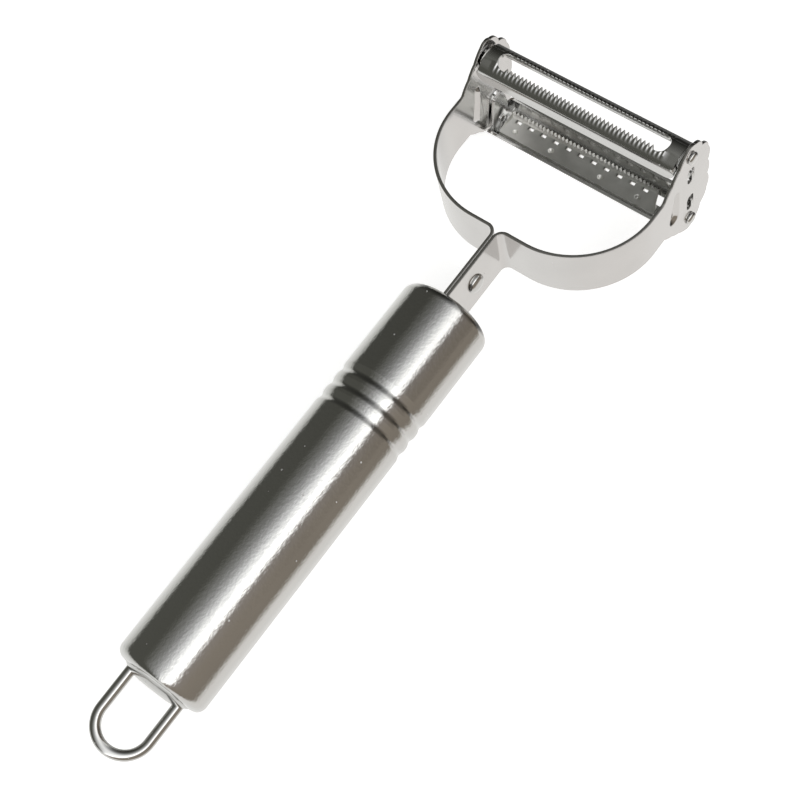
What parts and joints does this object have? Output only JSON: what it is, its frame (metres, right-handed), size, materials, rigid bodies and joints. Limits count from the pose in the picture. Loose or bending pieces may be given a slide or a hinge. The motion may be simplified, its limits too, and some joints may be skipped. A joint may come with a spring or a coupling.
{
  "type": "vegetable peeler",
  "caption": "Steel vegetable peeler with a round tube handle, a bent strip yoke, a swivelling peeling blade and a swivelling julienne blade.",
  "frame": {"origin": "on the handle's axis, in the middle of the plain grip between the rear shoulder and the first groove", "axes": "+X across the head, along the blades' pins; +Y along the handle, towards the head; +Z square to the strips' plane, on the side of the peeling blade"},
  "size_m": [0.0574, 0.1817, 0.0332],
  "materials": {
    "handle_steel": "polished",
    "cap_steel": "polished",
    "wire_steel": "polished",
    "strip_steel": "satin",
    "rivet_steel": "polished",
    "blade_steel": "satin",
    "pin_steel": "polished",
    "comb_steel": "satin"
  },
  "bodies": {
    "frame": {"handle_tube": "handle_steel", "handle_front_cap": "cap_steel", "handle_rear_cap": "cap_steel", "hanging_loop": "wire_steel", "right_frame_strip": "strip_steel", "left_frame_strip": "strip_steel", "neck_rivet": "rivet_steel", "tang_rivet": "rivet_steel"},
    "peeler": {"peeling_blade": "blade_steel", "peeling_blade_pins": "pin_steel"},
    "julienne": {"julienne_blade": "blade_steel", "julienne_blade_pins": "pin_steel", "julienne_comb": "comb_steel"}
  },
  "joints": [
    {"name": "peeling_blade_swivel", "type": "hinge", "parent": "frame", "child": "peeler", "pos_m": [0, 0.1215, 0.0126], "axis": [1, 0, 0], "range_deg": [-6, 6]},
    {"name": "julienne_blade_swivel", "type": "hinge", "parent": "frame", "child": "julienne", "pos_m": [0, 0.1215, -0.0126], "axis": [1, 0, 0], "range_deg": [-6, 6]}
  ]
}
